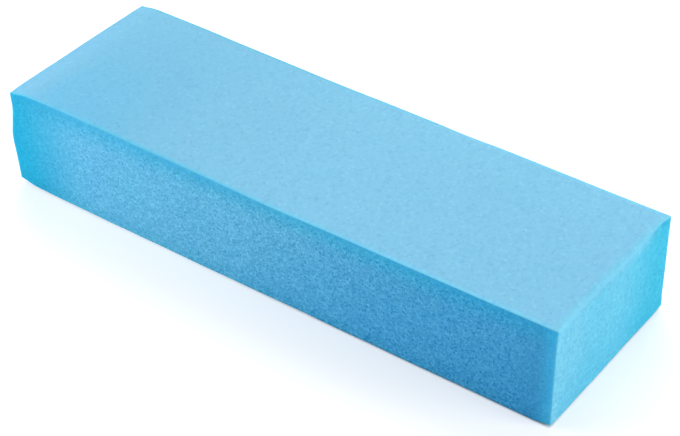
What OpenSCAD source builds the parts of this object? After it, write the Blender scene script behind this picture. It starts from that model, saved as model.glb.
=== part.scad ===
// Foam block: one piece of soft open-cell foam, cut from a slab with long straight blades.
// +X runs along the length, +Y to the back and +Z up, in millimetres.
// The origin is the middle of the underside.
// A blade sweeps a ruled surface, so the block is what two outlines have in common:
// its front outline, swept from front to back, and its end outline, swept from end to end.

/* [Block] */
// Length over the fullest part of both ends
block_len = 300; // [240:1:600]
// Width at the foot of the long sides
block_wid = 100; // [40:1:300]
// Thickness at the crown of the top
block_thk = 52; // [42:1:150]

/* [Top] */
// Distance of the crown from the left end
crown_at = 45; // [10:1:120]
// Distance of the hollow from the left end
hollow_at = 155; // [80:1:200]
// Distance from the left end at which the top is level again
level_at = 220; // [180:1:280]
// Fall of the top from its crown to the left end
left_fall = 0.4; // [0:0.1:3]
// Depth of the hollow below the crown
hollow_depth = 1.4; // [0:0.1:6]
// Depth of the level right part below the crown
right_fall = 0.8; // [0:0.1:6]

/* [Left end] */
// Height of its fullest part
bulge_z = 26; // [10:0.5:36]
// How far its upper part stands back from its fullest part
upper_back = 1.2; // [0:0.1:5]
// Height over which it goes back above its fullest part
upper_rise = 12; // [4:0.5:22]
// How far its foot is tucked in from its fullest part
foot_tuck = 3; // [0:0.1:10]
// How far its foot is lifted off the surface below
foot_lift = 0.8; // [0:0.1:4]
// Length of the underside that is lifted with it
foot_run = 40; // [15:1:100]

/* [Right end and front] */
// How far the right end leans in from its foot to its top
right_lean = 1; // [0:0.1:5]
// How far the front leans in from its foot to its top
front_lean = 0.4; // [0:0.1:3]
// Length of each edge lost where the lower right corner of the front is nipped off
corner_nip = 4; // [1:0.1:12]

/* [Edges] */
// Radius of the edges round the underside and of the left end's top edge
edge_r = 0.8; // [0.3:0.1:4]
// Radius of the right end's softer top edge
soft_edge_r = 2.5; // [0.5:0.1:8]

/* [Smoothness] */
// Steps in each curved stretch of a cut
cut_steps = 8; // [4:1:16]
// Steps in each rounded edge
edge_steps = 4; // [2:1:10]

/* [Hidden] */
foam_blue = [0.49, 0.78, 0.93];
half_len = block_len / 2;
half_wid = block_wid / 2;
// Heights at which the top meets the two ends
left_top = block_thk - left_fall;
right_top = block_thk - right_fall;
// Places along the length of the left end's foot and upper part and of the right end's top
foot_x = foot_tuck - half_len;
upper_x = upper_back - half_len;
right_x = half_len - right_lean;

// Value on the way from a to b, level at both, with t from 0 to 1
function eased(a, b, t) = a + (b - a) * (1 - cos(180 * t)) / 2;

// Points of a cut through stations of [place, level], without its first and last station
function cut(stations) = [
    for (i = [0 : len(stations) - 2], k = [0 : cut_steps - 1])
        if (i + k > 0)
            let (a = stations[i], b = stations[i + 1], t = k / cut_steps)
                [a.x + (b.x - a.x) * t, eased(a.y, b.y, t)]
];

// The same for a cut that runs up or down, with stations of [height, place]
function upright_cut(stations) = [for (p = cut(stations)) [p.y, p.x]];

// A quarter round about a centre, counter-clockwise from the angle start
function quarter(centre, r, start) = [
    for (k = [0 : edge_steps])
        let (angle = start + 90 * k / edge_steps)
            centre + r * [cos(angle), sin(angle)]
];

// The block seen from the front, counter-clockwise from its lower left edge
module front_outline()
    polygon(concat(
        quarter([foot_x + edge_r, foot_lift + edge_r], edge_r, 180),
        cut([[foot_x + edge_r, foot_lift], [foot_run - half_len, 0]]),
        [[foot_run - half_len, 0]],
        quarter([half_len - edge_r, edge_r], edge_r, 270),
        upright_cut([[edge_r, half_len], [right_top - soft_edge_r, right_x]]),
        quarter([right_x - soft_edge_r, right_top - soft_edge_r], soft_edge_r, 0),
        [[level_at - half_len, right_top]],
        cut([
            [level_at - half_len, right_top],
            [hollow_at - half_len, block_thk - hollow_depth],
            [crown_at - half_len, block_thk],
            [upper_x + edge_r, left_top]
        ]),
        quarter([upper_x + edge_r, left_top - edge_r], edge_r, 90),
        [[upper_x, bulge_z + upper_rise]],
        upright_cut([
            [bulge_z + upper_rise, upper_x],
            [bulge_z, -half_len],
            [foot_lift + edge_r, foot_x]
        ])
    ));

// The block seen from its right end, counter-clockwise from its lower front edge
module end_outline()
    polygon(concat(
        quarter([edge_r - half_wid, edge_r], edge_r, 180),
        quarter([half_wid - edge_r, edge_r], edge_r, 270),
        [[half_wid, block_thk], [front_lean - half_wid, block_thk]]
    ));

// Stands an outline upright and sweeps it from front to back
module sweep_front_to_back()
    translate([0, half_wid, 0])
        rotate([90, 0, 0])
            linear_extrude(block_wid) children();

// Stands an outline upright and sweeps it from end to end
module sweep_end_to_end()
    translate([-half_len, 0, 0])
        rotate([90, 0, 90])
            linear_extrude(block_len) children();

// What is missing at the lower right corner of the front, cut at the same slope to all three faces
module nipped_off()
    translate([half_len, -half_wid, 0])
        rotate([0, asin(1 / sqrt(3)), -45])
            translate([-corner_nip / sqrt(3), -block_thk / 2, -block_thk / 2])
                cube(block_thk);

module foam_block()
    color(foam_blue)
        difference() {
            intersection() {
                sweep_front_to_back() front_outline();
                sweep_end_to_end() end_outline();
            }
            nipped_off();
        }

foam_block();
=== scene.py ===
import math
import bpy
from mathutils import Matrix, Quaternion, Vector


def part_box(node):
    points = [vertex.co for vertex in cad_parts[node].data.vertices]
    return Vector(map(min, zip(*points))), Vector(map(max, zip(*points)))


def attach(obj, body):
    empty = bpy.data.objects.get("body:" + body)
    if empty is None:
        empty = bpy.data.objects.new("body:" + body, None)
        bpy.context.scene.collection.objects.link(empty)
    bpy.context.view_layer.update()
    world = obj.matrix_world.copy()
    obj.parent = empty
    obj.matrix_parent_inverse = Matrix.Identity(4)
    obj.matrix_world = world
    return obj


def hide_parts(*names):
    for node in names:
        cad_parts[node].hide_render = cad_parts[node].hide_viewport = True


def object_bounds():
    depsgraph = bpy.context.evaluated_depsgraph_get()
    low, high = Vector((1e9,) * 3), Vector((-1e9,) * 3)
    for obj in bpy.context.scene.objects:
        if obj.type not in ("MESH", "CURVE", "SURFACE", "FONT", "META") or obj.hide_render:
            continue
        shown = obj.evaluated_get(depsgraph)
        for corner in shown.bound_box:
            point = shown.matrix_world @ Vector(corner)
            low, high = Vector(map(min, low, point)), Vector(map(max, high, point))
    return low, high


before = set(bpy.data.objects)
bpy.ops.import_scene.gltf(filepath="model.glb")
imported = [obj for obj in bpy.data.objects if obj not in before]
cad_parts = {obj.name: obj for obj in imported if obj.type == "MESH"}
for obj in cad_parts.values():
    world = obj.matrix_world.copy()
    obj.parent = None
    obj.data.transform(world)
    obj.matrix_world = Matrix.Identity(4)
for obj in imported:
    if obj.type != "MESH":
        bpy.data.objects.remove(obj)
cadLow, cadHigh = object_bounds()
mm = 0.001


def startFresh():
    # operators act on all that is selected, so each stage starts with nothing selected
    bpy.ops.object.select_all(action="DESELECT")
    bpy.context.view_layer.objects.active = None


def useObject(obj):
    startFresh()
    obj.select_set(True)
    bpy.context.view_layer.objects.active = obj


def outward(azimuth, elevation):
    # direction away from the block, azimuth from straight in front round to the right
    a, e = math.radians(azimuth), math.radians(elevation)
    return Vector((math.sin(a) * math.cos(e), -math.cos(a) * math.cos(e), math.sin(e)))


# the camera stands in front, a little to the right, and looks down on the block
view = {
    "azimuth": 33.79,
    "elevation": 36.76,
    "roll": 1.78,                           # slight tilt of a hand-held camera
    "distance": 937 * mm,
    "aim": Vector((8.2, -1.6, -7.9)) * mm,  # from the middle of the block
    "lens": 107.2,
    "clip": (0.01, 20),
}


def placeCamera():
    back = outward(view["azimuth"], view["elevation"])
    middle = (cadLow + cadHigh) / 2
    bpy.ops.object.camera_add(location=middle + view["aim"] + back * view["distance"])
    camera = bpy.context.object
    camera.rotation_mode = "QUATERNION"
    level = (-back).to_track_quat("-Z", "Y")
    camera.rotation_quaternion = level @ Quaternion((0, 0, 1), math.radians(view["roll"]))
    camera.data.lens = view["lens"]
    camera.data.clip_start, camera.data.clip_end = view["clip"]
    bpy.context.scene.camera = camera
    print("camera placed")


# the block as it is cut and dragged
block = {
    "grid": 1.08 * mm,           # spacing of the mesh
    "edgeSoft": 0.7 * mm,        # width of the softened edges
    "edgeSteps": 3,
    # rise of the top in mm, at 13 places from the left end to the right end
    "frontWave": [-0.2, 0.35, 0.35, -0.1, -0.4, -0.8, -1.4, -1.1, -0.9, -0.9, -0.8, -0.6, -0.4],
    "backWave": [-0.2, -0.2, -0.4, -0.7, -0.9, -1.2, -1.2, -1.1, -1.2, -0.9, -0.8, -0.6, -0.5],
    # how far each end stands in, in mm, at 9 heights from the foot to the top
    "leftIn": [3.0, 2.75, 2.0, 0.95, 0.0, 0.4, 0.9, 1.0, 1.0],
    "rightIn": [0.0, 0.03, 0.14, 0.32, 0.5, 0.7, 0.87, 0.97, 1.0],
    "leftSkew": 0.7,               # how much further out the left end is at the back, in mm
    "footLift": [1.4, 0.7, 0.3],   # in mm, at the first three of the 13 places
    "frontLean": 0.4,              # how far the top of the front stands back, in mm
    # edges and corners that the blade dragged: the sides that meet there, each -1, 1 or 0 for
    # either, how far they moved and how far around foam came along, and for a part of an edge
    # where it starts and ends towards the back, all in mm
    "drags": [
        {"sides": (-1, 0, 1), "by": (-0.8, 0, -1.0), "reach": 10},
        {"sides": (-1, -1, 1), "by": (-0.1, 0, -0.5), "reach": 8},
        {"sides": (-1, 1, 1), "by": (0, -0.2, -0.2), "reach": 6},
        {"sides": (-1, -1, -1), "by": (0.1, 0.3, 0.8), "reach": 9},
        {"sides": (1, -1, -1), "by": (-0.2, 0.9, 0.3), "reach": 8},
        {"sides": (1, 1, -1), "by": (0.3, 0.4, 1.2), "reach": 9},
        {"sides": (1, 0, 1), "from": 24, "to": 42, "by": (-0.9, 0, 0.1), "reach": 7},
    ],
    # the right end's top edge is softest near the front: where each smoothing starts and ends
    # towards the back and how far from the edge it reaches, in mm, and its strength and rounds
    "softPasses": [(-47, 46), (-45, 38), (-42, 28), (-38, 16), (-33, 4), (-27, -10)],
    "softWidth": 4.5,
    "softFactor": 0.5,
    "softRounds": 18,
    # lumps of the whole block, and the ragged cells of the cut
    "lumpSize": 28 * mm,
    "lumpHeight": 0.4 * mm,
    "grainSize": 1.3 * mm,
    "grainHeight": 0.13 * mm,
}
mostCuts = 100         # that one subdivision makes
longEdge = 4 * mm      # longer than any edge of the softened edges
straightOn = 0.99      # least share of an edge's length that runs along the axis
samePlace = 0.01       # far less than the spacing of the cage


def gridAcross(obj, axis, step):
    # cuts every long edge that runs along one axis into pieces of about the same length,
    # first into a few and then each of these, because one subdivision can't make all the cuts
    low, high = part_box("foam_block")
    pieces = round((high[axis] - low[axis]) / step)
    few = math.ceil(pieces / mostCuts)
    for share in (few, round(pieces / few)):
        bpy.ops.mesh.select_all(action="DESELECT")
        bpy.ops.object.mode_set(mode="OBJECT")
        verts = obj.data.vertices
        for edge in obj.data.edges:
            run = verts[edge.vertices[1]].co - verts[edge.vertices[0]].co
            edge.select = abs(run[axis]) > straightOn * run.length and run.length > longEdge
        bpy.ops.object.mode_set(mode="EDIT")
        if share > 1:
            bpy.ops.mesh.subdivide(number_cuts=share - 1)


def makeBlock():
    low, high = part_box("foam_block")
    startFresh()
    bpy.ops.mesh.primitive_cube_add(size=1, location=(low + high) / 2, scale=high - low)
    obj = bpy.context.object
    obj.name = obj.data.name = "foamBlock"
    bpy.ops.object.transform_apply(location=True, rotation=True, scale=True)
    bpy.ops.object.mode_set(mode="EDIT")
    bpy.ops.mesh.select_mode(type="EDGE")
    bpy.ops.mesh.select_all(action="SELECT")
    bpy.ops.mesh.bevel(offset=block["edgeSoft"], segments=block["edgeSteps"], affect="EDGES")
    for axis in range(3):
        gridAcross(obj, axis, block["grid"])
    bpy.ops.object.mode_set(mode="OBJECT")
    print("block cut to a grid:", len(obj.data.polygons), "faces")
    return obj


def rememberPlace(obj):
    # keeps where each point was while the block was still straight
    mesh = obj.data
    place = mesh.attributes.new("straightPlace", "FLOAT_VECTOR", "POINT")
    for point, vert in zip(place.data, mesh.vertices):
        point.vector = vert.co


def moveCage(cage, place, by):
    # moves the cage points at a place, given from 0 to 1 along each side or as None for all
    bpy.ops.object.mode_set(mode="OBJECT")
    for point in cage.data.points:
        at = point.co + Vector((0.5, 0.5, 0.5))
        point.select = all(there is None or abs(at[i] - there) < samePlace
                           for i, there in enumerate(place))
    bpy.ops.object.mode_set(mode="EDIT")
    bpy.ops.transform.translate(value=by)


def bowBlock(obj):
    # a blade never cuts soft foam quite straight, so a cage bows the straight block
    low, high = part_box("foam_block")
    along, up = len(block["frontWave"]), len(block["leftIn"])
    startFresh()
    bpy.ops.object.add(type="LATTICE", location=(low + high) / 2)
    cage = bpy.context.object
    cage.scale = high - low
    cage.data.points_u = along
    cage.data.points_v = 2
    cage.data.points_w = up
    cage.data.interpolation_type_u = "KEY_CARDINAL"
    cage.data.interpolation_type_v = "KEY_LINEAR"
    cage.data.interpolation_type_w = "KEY_CARDINAL"
    for i in range(along):
        for side, wave in ((0, "frontWave"), (1, "backWave")):
            moveCage(cage, (i / (along - 1), side, 1), (0, 0, block[wave][i] * mm))
    for i in range(up):
        height = i / (up - 1)
        moveCage(cage, (0, None, height), (block["leftIn"][i] * mm, 0, 0))
        moveCage(cage, (1, None, height), (-block["rightIn"][i] * mm, 0, 0))
        moveCage(cage, (None, 0, height), (0, block["frontLean"] * height * mm, 0))
    moveCage(cage, (0, 1, None), (-block["leftSkew"] * mm, 0, 0))
    for i, lift in enumerate(block["footLift"]):
        moveCage(cage, (i / (along - 1), None, 0), (0, 0, lift * mm))
    bpy.ops.object.mode_set(mode="OBJECT")
    useObject(obj)
    bow = obj.modifiers.new("bow", "LATTICE")
    bow.object = cage
    bpy.ops.object.modifier_apply(modifier="bow")
    bpy.data.objects.remove(cage)
    print("block bowed")


def pickPoints(obj, chosen):
    # selects the points that are chosen by where they were on the straight block
    bpy.ops.mesh.select_mode(type="VERT")
    bpy.ops.mesh.select_all(action="DESELECT")
    bpy.ops.object.mode_set(mode="OBJECT")
    places = obj.data.attributes["straightPlace"].data
    for vert, place in zip(obj.data.vertices, places):
        vert.select = chosen(place.vector)
    bpy.ops.object.mode_set(mode="EDIT")


def onSides(sides, start, end):
    # test for the edge or corner where sides meet, between two distances towards the back
    low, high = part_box("foam_block")
    middle, half = (low + high) / 2, (high - low) / 2

    def chosen(place):
        away = place - middle
        meets = all(side == 0 or away[i] * side > half[i] - block["edgeSoft"]
                    for i, side in enumerate(sides))
        return meets and start * mm < away.y < end * mm
    return chosen


def dragEdges(obj):
    # soft foam gives way under the blade, most where little foam stands behind it
    useObject(obj)
    bpy.ops.object.mode_set(mode="EDIT")
    for drag in block["drags"]:
        pickPoints(obj, onSides(drag["sides"], drag.get("from", -math.inf), drag.get("to", math.inf)))
        bpy.ops.transform.translate(
            value=[step * mm for step in drag["by"]],
            use_proportional_edit=True,
            proportional_edit_falloff="SMOOTH",
            proportional_size=drag["reach"] * mm,
        )
    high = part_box("foam_block")[1]
    edge = Vector((high.x, 0, high.z))
    for start, end in block["softPasses"]:
        pickPoints(obj, lambda place: start * mm < place.y < end * mm
                   and (place - edge).xz.length < block["softWidth"] * mm)
        bpy.ops.mesh.vertices_smooth(factor=block["softFactor"], repeat=block["softRounds"])
    bpy.ops.object.mode_set(mode="OBJECT")
    print("edges dragged")


def roughen(obj, name, size, height, depth):
    # raises and sinks the skin by a cloud pattern, which gets finer detail with more depth
    cloud = bpy.data.textures.new(name, "CLOUDS")
    cloud.noise_scale = size
    cloud.noise_depth = depth
    rough = obj.modifiers.new(name, "DISPLACE")
    rough.texture = cloud
    rough.texture_coords = "LOCAL"
    rough.strength = height
    bpy.ops.object.modifier_apply(modifier=name)


def finishBlock(obj):
    useObject(obj)
    roughen(obj, "lumps", block["lumpSize"], block["lumpHeight"], 0)
    roughen(obj, "grain", block["grainSize"], block["grainHeight"], 1)
    bpy.ops.object.shade_smooth()
    print("block roughened")


def giveInput(tree, socket, value):
    # links what comes out of another node, and sets a plain number or colour
    if isinstance(value, bpy.types.NodeSocket):
        tree.links.new(value, socket)
    else:
        socket.default_value = value


def addNode(tree, kind, **values):
    # adds a node, sets its options, and gives it its inputs by name or number
    made = tree.nodes.new("ShaderNode" + kind)
    inputs = values.pop("inputs", {})
    for key, value in values.items():
        setattr(made, key, value)
    for key, value in inputs.items():
        giveInput(tree, made.inputs[key], value)
    return made


def maths(tree, operation, a, b=0.0):
    return addNode(tree, "Math", operation=operation, inputs={0: a, 1: b}).outputs[0]


def times(tree, first, *others):
    for other in others:
        first = maths(tree, "MULTIPLY", first, other)
    return first


def vectorMaths(tree, operation, a, b=(0, 0, 0)):
    return addNode(tree, "VectorMath", operation=operation, inputs={0: a, 1: b}).outputs["Vector"]


def ramped(tree, value, start, end, low=0.0, high=1.0):
    # goes smoothly from low to high as the value goes from start to end
    reach = {"Value": value, "From Min": start, "From Max": end, "To Min": low, "To Max": high}
    return addNode(tree, "MapRange", interpolation_type="SMOOTHSTEP", inputs=reach).outputs["Result"]


def crossed(tree, a, b, half):
    # goes from 0 to 1 as a grows past b, over twice the half width
    return ramped(tree, maths(tree, "SUBTRACT", a, b), times(tree, half, -1.0), half)


def blended(tree, amount, a, b, way="MIX"):
    # mixes two colours, which are inputs 6 and 7 of the node, and its output 2
    made = addNode(tree, "Mix", data_type="RGBA", blend_type=way, inputs={0: amount, 6: a, 7: b})
    return made.outputs[2]


def makeGroup(name, takes, gives):
    # a node group with number inputs and outputs
    group = bpy.data.node_groups.new(name, "ShaderNodeTree")
    for label in takes:
        group.interface.new_socket(label, in_out="INPUT", socket_type="NodeSocketFloat")
    for label in gives:
        group.interface.new_socket(label, in_out="OUTPUT", socket_type="NodeSocketFloat")
    return group, group.nodes.new("NodeGroupInput").outputs, group.nodes.new("NodeGroupOutput").inputs


def useGroup(tree, group, **values):
    made = tree.nodes.new("ShaderNodeGroup")
    made.node_tree = group
    for key, value in values.items():
        giveInput(tree, made.inputs[key], value)
    return made.outputs


# colours and grain of the foam; a reach is where a change starts and where it is whole,
# along the block from its middle unless a note says otherwise
foam = {
    # top and underside, painted paler than the sides as a sheen of the light from above, with less of it
    # towards the left end, and a less red stretch of them, most towards the front
    "flatLeft": (0.188, 0.527, 0.76, 1),
    "flat": (0.215, 0.577, 0.82, 1),
    "flatReach": (-120 * mm, 30 * mm),
    "flatCool": (0.145, 0.51, 0.765, 1),
    "coolStart": (-143 * mm, -128 * mm),
    "coolEnd": (-112 * mm, -55 * mm),
    "coolAcross": (60 * mm, -50 * mm),
    "backTint": (1.01, 1.025, 1.015, 1),   # a little paler towards the back
    "backReach": (5 * mm, 50 * mm),        # across the block
    # long sides: deep where painted light comes through from the left end, and darker to the right with
    # painted shade
    "deep": (0.0, 0.405, 0.68, 1),
    "side": (0.122, 0.50, 0.79, 1),
    "leftReach": (-143.5 * mm, -93 * mm),
    "leftSlant": 0.2,                      # how far it leans to the left as it goes up
    "shade": (0.062, 0.415, 0.775, 1),
    "rightReach": (-70 * mm, 60 * mm),
    "dark": (0.035, 0.335, 0.68, 1),
    "darkReach": (30 * mm, 170 * mm),
    "rightSlant": 1.2,                     # how far both lean to the right as they go up
    # ends, from the back to the front: deep at the back where painted light comes through, paler to the
    # front, and less red towards their foot
    "endDeep": (0.02, 0.42, 0.63, 1),
    "end": (0.102, 0.48, 0.69, 1),
    "endReach": (45 * mm, -2 * mm),        # across the block, as the next reach
    "endFront": (0.128, 0.49, 0.70, 1),
    "endFrontReach": (-18 * mm, -34 * mm),
    "endFootTint": (0.78, 0.985, 1.0, 1),
    "endFootReach": (0, 32 * mm),          # upwards
    # painted band of light scattered in from the top, below the top edge of the long sides, less red
    "bandReach": (1.0 * mm, 14 * mm),      # downwards
    "bandStart": (-160 * mm, -125 * mm),
    "bandLeft": (0.48, 0.905, 0.935, 1),
    "bandRight": (0.52, 1.03, 0.985, 1),
    "bandAlong": (-40 * mm, 100 * mm),
    # painted shade at the foot of the long sides, with a painted contact shadow as a dark line at the
    # very foot that shows more to the right
    "footShade": (0.775, 0.94, 0.93, 1),
    "footShadeReach": (1.0 * mm, 10 * mm),      # upwards
    "footContactShadow": (0.50, 0.62, 0.70, 1),
    "footContactShadowReach": (0.3 * mm, 1.8 * mm),
    # painted highlight: a light line along the long edges of the flats
    "highlightLeft": (0.128, 0.555, 0.79, 1),
    "highlightRight": (0.195, 0.66, 0.94, 1),
    "highlightReach": (0.8 * mm, 2.8 * mm),     # inwards
    "lineAlong": (-100 * mm, 100 * mm),    # of this painted highlight and of the painted contact shadow
    # painted glow of light through the foam round the right end: on the flats, below the top edge and at
    # the upright edge
    "flatGlow": (0.203, 0.615, 0.82, 1),
    "flatGlowReach": (0.5 * mm, 6 * mm),   # inwards
    "endGlow": (0.143, 0.505, 0.70, 1),
    "endGlowReach": (0.5 * mm, 7 * mm),    # downwards
    "endGlowAcross": (46 * mm, 24 * mm),   # it fades towards the back
    "endCornerGlow": (0.135, 0.515, 0.735, 1),
    "sideCornerGlow": (0.055, 0.60, 0.96, 1),
    "sideCornerGlowShare": 0.66,
    "cornerGlowReach": (0, 9.5 * mm),          # inwards
    # half the width over which one side's colour meets the next
    "crossing": 0.35 * mm,
    "uprightCrossing": 0.9 * mm,           # at the upright edges
    "uprightShift": 0.5 * mm,              # and how far round them the end's colour comes
    "softCrossing": 1.7 * mm,              # at the right end's soft edge
    "softLower": 0.95 * mm,                # and how far below that edge it is
    "softAcross": (46 * mm, 20 * mm),      # it fades towards the back
    # specks of the cut cells: how strong they are from place to place
    "cellSize": 0.98 * mm,
    "sideGrain": (0.32, 0.51, 0.65),       # of the long sides, at three places along them
    "sideGrainAt": (-132 * mm, -104 * mm, 60 * mm),
    "calmBelow": (0.5 * mm, 6 * mm, 0.45, 1),  # share of it that is left close to the top edge
    "calmRight": (1 * mm, 28 * mm, 0.4, 1),    # and close to the right end
    "endGrain": 0.255,
    "flatGrain": (-0.10, -0.14),           # below 0, the cell walls are darker and not lighter
    "flatGrainReach": (-150 * mm, 0),
    "flatCells": 1.45,                     # cells are cut wider on the flats and the ends
    "flatStretch": 0.72,                   # below 1, the flats' are drawn out towards the back
    "sidePeaks": 1.35,                     # above 1, fewer specks stand out, and more strongly
    "flatPeaks": 1.9,
    "speckGamma": 0.54,                    # below 1, they fade less where the colour is deep
    "speckColour": (1.2, 1.11, 0.80),
    # cell walls as bumps, and the pinholes, with painted shade inside them
    "cellHeight": 0.12 * mm,
    "bumpStrength": 0.5,
    "holeSpacing": 6.7 * mm,
    "holeSize": 0.45 * mm,
    "holeShade": (0, 0.2, 0.4, 1),
    "holeShadeAmount": 0.45,
    # surface, and the light that passes through the foam
    "roughness": 0.6,
    "specular": 0.2,
    "through": 0.5,
    "throughReach": 4 * mm,
    "throughColour": (0.3, 0.8, 1.0),
}

# shares of the cell pattern: distance to the walls, tone of each cell, and a cloud
cellMix = {
    "wall": 0.2,
    "wallReach": (0.1, 0.75),
    "tone": 0.45,
    "cloud": 0.6,
    "middle": 0.62,     # taken off, so that the whole is around 0
    "swing": 0.25,      # height at which drawing out the peaks changes nothing
}
holeEdge = (1.0, 0.6)   # from the rim to the full depth of a hole, in shares of its size
leastShare = 0.001      # so that nothing is divided by 0


def straightPlace(tree):
    # place on the block before it was bowed
    at = addNode(tree, "Attribute", attribute_type="GEOMETRY", attribute_name="straightPlace")
    return at.outputs["Vector"]


def insideBox(tree, place, low, high):
    # how far a place lies inside a box, from the nearer plane of each pair
    centred = vectorMaths(tree, "SUBTRACT", place, (low + high) / 2)
    return vectorMaths(tree, "SUBTRACT", (high - low) / 2, vectorMaths(tree, "ABSOLUTE", centred))


def edgeGroup():
    # how far a point is from the planes of the ends, the long sides and the flats
    labels = ("End", "Side", "Flat")
    group, _, gives = makeGroup("edgeDistance", (), labels)
    inside = insideBox(group, straightPlace(group), *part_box("foam_block"))
    parts = addNode(group, "SeparateXYZ", inputs={0: inside}).outputs
    for part, label in zip(parts, labels):
        group.links.new(part, gives[label])
    return group


def cellGroup():
    # cut cells of the foam: height is around 0 and higher on the cell walls, and tone is
    # the same with its peaks drawn out
    group, takes, gives = makeGroup("cellGrain", ("Size", "Stretch", "Peaks"), ("Height", "Tone"))
    stretch = addNode(group, "CombineXYZ", inputs={0: 1.0, 1: takes["Stretch"], 2: 1.0}).outputs[0]
    at = vectorMaths(group, "MULTIPLY", addNode(group, "TexCoord").outputs["Object"], stretch)
    scale = maths(group, "DIVIDE", 1.0, takes["Size"])
    cells = addNode(group, "TexVoronoi", inputs={"Vector": at, "Scale": scale}).outputs
    tone = addNode(group, "SeparateColor", inputs={0: cells["Color"]}).outputs[0]
    cloud = addNode(group, "TexNoise", inputs={"Vector": at, "Scale": scale, "Detail": 1.0})
    wall = ramped(group, cells["Distance"], *cellMix["wallReach"])
    height = maths(group, "ADD", times(group, wall, cellMix["wall"]), times(group, tone, cellMix["tone"]))
    height = maths(group, "ADD", height, times(group, cloud.outputs["Fac"], cellMix["cloud"]))
    height = maths(group, "SUBTRACT", height, cellMix["middle"])
    size = maths(group, "DIVIDE", maths(group, "ABSOLUTE", height), cellMix["swing"])
    drawn = times(group, maths(group, "POWER", size, takes["Peaks"]), cellMix["swing"])
    group.links.new(height, gives["Height"])
    group.links.new(times(group, maths(group, "SIGN", height), drawn), gives["Tone"])
    return group


def holeGroup():
    # a few larger holes: 1 inside them
    group, takes, gives = makeGroup("pinholes", ("Spacing", "Size"), ("Mask",))
    at = addNode(group, "TexCoord").outputs["Object"]
    scale = maths(group, "DIVIDE", 1.0, takes["Spacing"])
    spots = addNode(group, "TexVoronoi", inputs={"Vector": at, "Scale": scale})
    reach = maths(group, "DIVIDE", takes["Size"], takes["Spacing"])
    share = maths(group, "DIVIDE", spots.outputs["Distance"], reach)
    group.links.new(ramped(group, share, *holeEdge), gives["Mask"])
    return group


def foamPlace(tree):
    # where a point is on the straight block, and how much of it counts to each kind of side:
    # half and half where two meet, and more gradual at the soft edge
    low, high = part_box("foam_block")
    x, y, z = addNode(tree, "SeparateXYZ", inputs={0: straightPlace(tree)}).outputs
    apart = useGroup(tree, edgeGroup())
    soft = times(tree, ramped(tree, x, 0, high.x), ramped(tree, z, 0, high.z),
                 ramped(tree, y, *foam["softAcross"]))
    half = ramped(tree, soft, 0, 1, foam["crossing"], foam["softCrossing"])
    flatApart = maths(tree, "SUBTRACT", apart["Flat"], times(tree, soft, foam["softLower"]))
    sideApart = maths(tree, "ADD", apart["Side"], foam["uprightShift"])
    onEnd = times(tree, crossed(tree, flatApart, apart["End"], half),
                  crossed(tree, sideApart, apart["End"], foam["uprightCrossing"]))
    onFlat = times(tree, crossed(tree, apart["End"], flatApart, half),
                   crossed(tree, apart["Side"], apart["Flat"], foam["crossing"]))
    offFlat = maths(tree, "SUBTRACT", 1.0, onFlat)
    return {
        "x": x,
        "y": y,
        "z": z,
        "onFlat": onFlat,
        "onEnd": onEnd,
        "onLong": maths(tree, "SUBTRACT", offFlat, onEnd),
        "endShare": maths(tree, "DIVIDE", onEnd, maths(tree, "MAXIMUM", offFlat, leastShare)),
        "beside": apart["Side"],
        "belowTop": maths(tree, "SUBTRACT", high.z, z),
        "fromRight": maths(tree, "SUBTRACT", high.x, x),
        "fromFront": maths(tree, "SUBTRACT", y, low.y),
        "rightward": ramped(tree, x, 0, high.x),
        "along": ramped(tree, x, *foam["lineAlong"]),
    }


def sideColour(tree, at):
    # colour of the long sides, the ends and the flats, each painted for how the light falls on it
    leftward = maths(tree, "ADD", at["x"], times(tree, at["z"], foam["leftSlant"]))
    rightward = maths(tree, "SUBTRACT", at["x"], times(tree, at["z"], foam["rightSlant"]))
    # painted light through the left end, then painted shade towards the right
    side = blended(tree, ramped(tree, leftward, *foam["leftReach"]), foam["deep"], foam["side"])
    side = blended(tree, ramped(tree, rightward, *foam["rightReach"]), side, foam["shade"])
    side = blended(tree, ramped(tree, rightward, *foam["darkReach"]), side, foam["dark"])
    # the ends are deep at the back with painted light coming through
    end = blended(tree, ramped(tree, at["y"], *foam["endReach"]), foam["endDeep"], foam["end"])
    end = blended(tree, ramped(tree, at["y"], *foam["endFrontReach"]), end, foam["endFront"])
    lowDown = ramped(tree, at["z"], *foam["endFootReach"], 1, 0)
    end = blended(tree, lowDown, end, foam["endFootTint"], "MULTIPLY")
    # the flats carry the painted sheen of the light from above
    flat = blended(tree, ramped(tree, at["x"], *foam["flatReach"]), foam["flatLeft"], foam["flat"])
    cool = times(tree, ramped(tree, at["x"], *foam["coolStart"]),
                 ramped(tree, at["x"], *foam["coolEnd"], 1, 0),
                 ramped(tree, at["y"], *foam["coolAcross"]))
    flat = blended(tree, cool, flat, foam["flatCool"])
    flat = blended(tree, ramped(tree, at["y"], *foam["backReach"]), flat, foam["backTint"], "MULTIPLY")
    return blended(tree, at["onFlat"], blended(tree, at["endShare"], side, end), flat)


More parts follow.
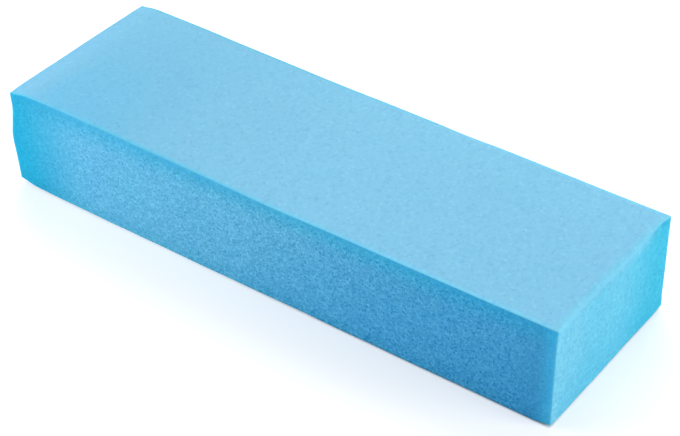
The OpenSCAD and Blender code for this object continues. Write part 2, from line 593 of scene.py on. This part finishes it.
def edgeColour(tree, at, colour):
    # painted light scattered in from the top: less red in a band below the top edge
    band = times(tree, ramped(tree, at["belowTop"], *foam["bandReach"], 1, 0), at["onLong"],
                 ramped(tree, at["x"], *foam["bandStart"]))
    tint = blended(tree, ramped(tree, at["x"], *foam["bandAlong"]), foam["bandLeft"], foam["bandRight"])
    colour = blended(tree, band, colour, tint, "MULTIPLY")
    # painted shade: darker at the foot
    foot = times(tree, ramped(tree, at["z"], *foam["footShadeReach"], 1, 0), at["onLong"])
    colour = blended(tree, foot, colour, foam["footShade"], "MULTIPLY")
    # painted contact shadow: a dark line at the very foot
    footContactShadow = times(tree, ramped(tree, at["z"], *foam["footContactShadowReach"], 1, 0), at["onLong"], at["along"])
    colour = blended(tree, footContactShadow, colour, foam["footContactShadow"], "MULTIPLY")
    # painted highlight: a light line along the flats
    line = times(tree, ramped(tree, at["beside"], *foam["highlightReach"], 1, 0), at["onFlat"])
    colour = blended(tree, line, colour, blended(tree, at["along"], foam["highlightLeft"], foam["highlightRight"]))
    # a wider painted glow round the right end
    flatGlow = times(tree, ramped(tree, at["fromRight"], *foam["flatGlowReach"], 1, 0), at["onFlat"])
    colour = blended(tree, flatGlow, colour, foam["flatGlow"])
    rightEnd = times(tree, at["rightward"], at["onEnd"])
    upper = times(tree, ramped(tree, at["belowTop"], *foam["endGlowReach"], 1, 0),
                  ramped(tree, at["y"], *foam["endGlowAcross"]))
    # painted glow at the right end's upright corner, reaching round onto the long side
    fromCorner = maths(tree, "MAXIMUM", at["fromFront"], at["fromRight"])
    corner = ramped(tree, fromCorner, *foam["cornerGlowReach"], 1, 0)
    endGlow = times(tree, maths(tree, "MAXIMUM", upper, corner), rightEnd)
    colour = blended(tree, endGlow, colour, foam["endGlow"])
    colour = blended(tree, times(tree, corner, rightEnd), colour, foam["endCornerGlow"])
    sideCornerGlow = times(tree, corner, at["onLong"], foam["sideCornerGlowShare"])
    return blended(tree, sideCornerGlow, colour, foam["sideCornerGlow"])


def grainStrength(tree, at):
    # specks are weaker at the left end, below the top edge and beside the right end
    start, middle, end = foam["sideGrainAt"]
    weak, strong, strongest = foam["sideGrain"]
    grain = ramped(tree, at["x"], middle, end, strong, strongest)
    grain = ramped(tree, at["x"], start, middle, weak, grain)
    calm = maths(tree, "MINIMUM", ramped(tree, at["belowTop"], *foam["calmBelow"]),
                 ramped(tree, at["fromRight"], *foam["calmRight"]))
    grain = ramped(tree, at["endShare"], 0, 1, times(tree, grain, calm), foam["endGrain"])
    flatGrain = ramped(tree, at["x"], *foam["flatGrainReach"], *foam["flatGrain"])
    return ramped(tree, at["onFlat"], 0, 1, grain, flatGrain)


def cellColour(tree, at, colour, tone, hole):
    # specks of a lighter and darker colour where the cells are cut, never below black
    swing = addNode(tree, "Gamma", inputs={"Color": colour, "Gamma": foam["speckGamma"]}).outputs[0]
    swing = vectorMaths(tree, "MULTIPLY", swing, foam["speckColour"])
    amount = times(tree, tone, grainStrength(tree, at))
    swing = addNode(tree, "VectorMath", operation="SCALE", inputs={0: swing, "Scale": amount})
    colour = vectorMaths(tree, "ADD", colour, swing.outputs["Vector"])
    colour = vectorMaths(tree, "MAXIMUM", colour, (0, 0, 0))
    # painted shade inside the pinholes
    return blended(tree, times(tree, hole, foam["holeShadeAmount"]), colour, foam["holeShade"])


def foamMaterial():
    mat = bpy.data.materials.new("openCellFoam")
    mat.use_nodes = True
    tree = mat.node_tree
    shader = tree.nodes["Principled BSDF"]
    at = foamPlace(tree)
    cells = useGroup(
        tree, cellGroup(),
        Size=ramped(tree, at["onLong"], 0, 1, foam["cellSize"] * foam["flatCells"], foam["cellSize"]),
        Stretch=ramped(tree, at["onFlat"], 0, 1, 1, foam["flatStretch"]),
        Peaks=ramped(tree, at["onFlat"], 0, 1, foam["sidePeaks"], foam["flatPeaks"]),
    )
    hole = useGroup(tree, holeGroup(), Spacing=foam["holeSpacing"], Size=foam["holeSize"])["Mask"]
    colour = edgeColour(tree, at, sideColour(tree, at))
    colour = cellColour(tree, at, colour, cells["Tone"], hole)
    bump = addNode(tree, "Bump", inputs={
        "Height": maths(tree, "SUBTRACT", cells["Height"], hole),
        "Strength": foam["bumpStrength"],
        "Distance": foam["cellHeight"],
    })
    tree.links.new(colour, shader.inputs["Base Color"])
    tree.links.new(bump.outputs["Normal"], shader.inputs["Normal"])
    shader.inputs["Roughness"].default_value = foam["roughness"]
    shader.inputs["Specular IOR Level"].default_value = foam["specular"]
    shader.inputs["Subsurface Weight"].default_value = foam["through"]
    shader.inputs["Subsurface Scale"].default_value = foam["throughReach"]
    shader.inputs["Subsurface Radius"].default_value = foam["throughColour"]
    print("foam finish made")
    return mat


# lamps by the direction they stand in, as for the camera, and the light from all round
studio = {
    "lamps": {
        "backLeft": {"azimuth": 210, "elevation": 40, "distance": 2.2, "size": 2.1, "watts": 31.0},
        "right": {"azimuth": 97, "elevation": 20, "distance": 0.9, "size": 0.6, "watts": 4.65},
        "frontLeft": {"azimuth": -55, "elevation": 20, "distance": 0.75, "size": 0.5, "watts": 3.7},
    },
    "sky": 0.29,
}
white = (1, 1, 1, 1)


def seenRay(tree):
    # 1 for rays that are seen directly, in gloss or through glass, 0 for those that light
    path = addNode(tree, "LightPath").outputs
    shown = maths(tree, "MAXIMUM", path["Is Camera Ray"], path["Is Glossy Ray"])
    return maths(tree, "MAXIMUM", shown, path["Is Transmission Ray"])


def seenAndLit(tree, seen, lit, out):
    # gives an output one shader where it is seen, and another where it lights the block
    mix = addNode(tree, "MixShader", inputs={0: seenRay(tree), 1: lit.outputs[0], 2: seen.outputs[0]})
    tree.links.new(mix.outputs[0], out.inputs["Surface"])


def addLamp(name, spec):
    away = outward(spec["azimuth"], spec["elevation"])
    bpy.ops.object.light_add(type="AREA", location=away * spec["distance"])
    lamp = bpy.context.object
    lamp.name = name
    lamp.rotation_mode = "QUATERNION"
    lamp.rotation_quaternion = (-away).to_track_quat("-Z", "Y")
    lamp.data.shape = "DISK"
    lamp.data.size = spec["size"]
    lamp.data.energy = spec["watts"]


def lightStudio():
    for name, spec in studio["lamps"].items():
        addLamp(name, spec)
    world = bpy.data.worlds.new("studio")
    bpy.context.scene.world = world
    world.use_nodes = True
    tree = world.node_tree
    sky = tree.nodes["Background"]
    sky.inputs["Color"].default_value = white
    sky.inputs["Strength"].default_value = studio["sky"]
    backdrop = addNode(tree, "Background", inputs={"Color": white})
    seenAndLit(tree, backdrop, sky, tree.nodes["World Output"])
    print("studio lit")


ground = {
    "colour": (0.8, 0.8, 0.8, 1),
    "roughness": 0.9,
    "specular": 0.1,
    "radius": 3,
    "sides": 96,
    "gap": 0.3 * mm,                     # below the block, whose foot is a little ragged
    # brings the floor to white where it is seen, not where it lights: near and far
    "lift": (0.4, 0.85),
    "liftReach": (0.3, 0.8),
    # but less in the crack under the block's foot, so a painted contact shadow shows there, fading out
    # where the crack opens towards the left end
    "contactShadowReach": (0, 1.3 * mm),
    "contactShadowFade": (100 * mm, -60 * mm),
    # how far inside the block's box its foot touches the floor: left, front, right and back
    "footInside": (4 * mm, 0.9 * mm, 0.9 * mm, 0.9 * mm),
}


def outsideFoot(tree, at):
    # how far a place on the floor is from the block's foot
    left, front, right, back = ground["footInside"]
    low, high = cadLow + Vector((left, front, 0)), cadHigh - Vector((right, back, 0))
    outside = vectorMaths(tree, "MINIMUM", insideBox(tree, at, low, high), (0, 0, 0))
    return addNode(tree, "VectorMath", operation="LENGTH", inputs={0: outside}).outputs["Value"]


def floorMaterial():
    mat = bpy.data.materials.new("paleFloor")
    mat.use_nodes = True
    tree = mat.node_tree
    shader = tree.nodes["Principled BSDF"]
    shader.inputs["Base Color"].default_value = ground["colour"]
    shader.inputs["Roughness"].default_value = ground["roughness"]
    shader.inputs["Specular IOR Level"].default_value = ground["specular"]
    at = addNode(tree, "TexCoord").outputs["Object"]
    away = addNode(tree, "VectorMath", operation="LENGTH", inputs={0: at}).outputs["Value"]
    along = addNode(tree, "SeparateXYZ", inputs={0: at}).outputs[0]
    # painted contact shadow: the lift is kept back right beside the foot
    liftKept = maths(tree, "MAXIMUM", ramped(tree, outsideFoot(tree, at), *ground["contactShadowReach"]),
                  ramped(tree, along, *ground["contactShadowFade"]))
    lift = times(tree, ramped(tree, away, *ground["liftReach"], *ground["lift"]), liftKept)
    glow = addNode(tree, "Emission", inputs={"Strength": lift})
    lifted = addNode(tree, "AddShader", inputs={0: shader.outputs[0], 1: glow.outputs[0]})
    seenAndLit(tree, lifted, shader, tree.nodes["Material Output"])
    return mat


def layFloor():
    startFresh()
    bpy.ops.mesh.primitive_circle_add(vertices=ground["sides"], radius=ground["radius"],
                                      fill_type="NGON", location=(0, 0, cadLow.z - ground["gap"]))
    floor = bpy.context.object
    floor.name = "floor"
    floor.data.materials.append(floorMaterial())
    print("floor laid")


placeCamera()
foamBlock = makeBlock()
rememberPlace(foamBlock)
bowBlock(foamBlock)
dragEdges(foamBlock)
finishBlock(foamBlock)
foamBlock.data.materials.append(foamMaterial())
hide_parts("foam_block")
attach(foamBlock, "root")
lightStudio()
layFloor()
bpy.context.scene.view_settings.view_transform = "Standard"
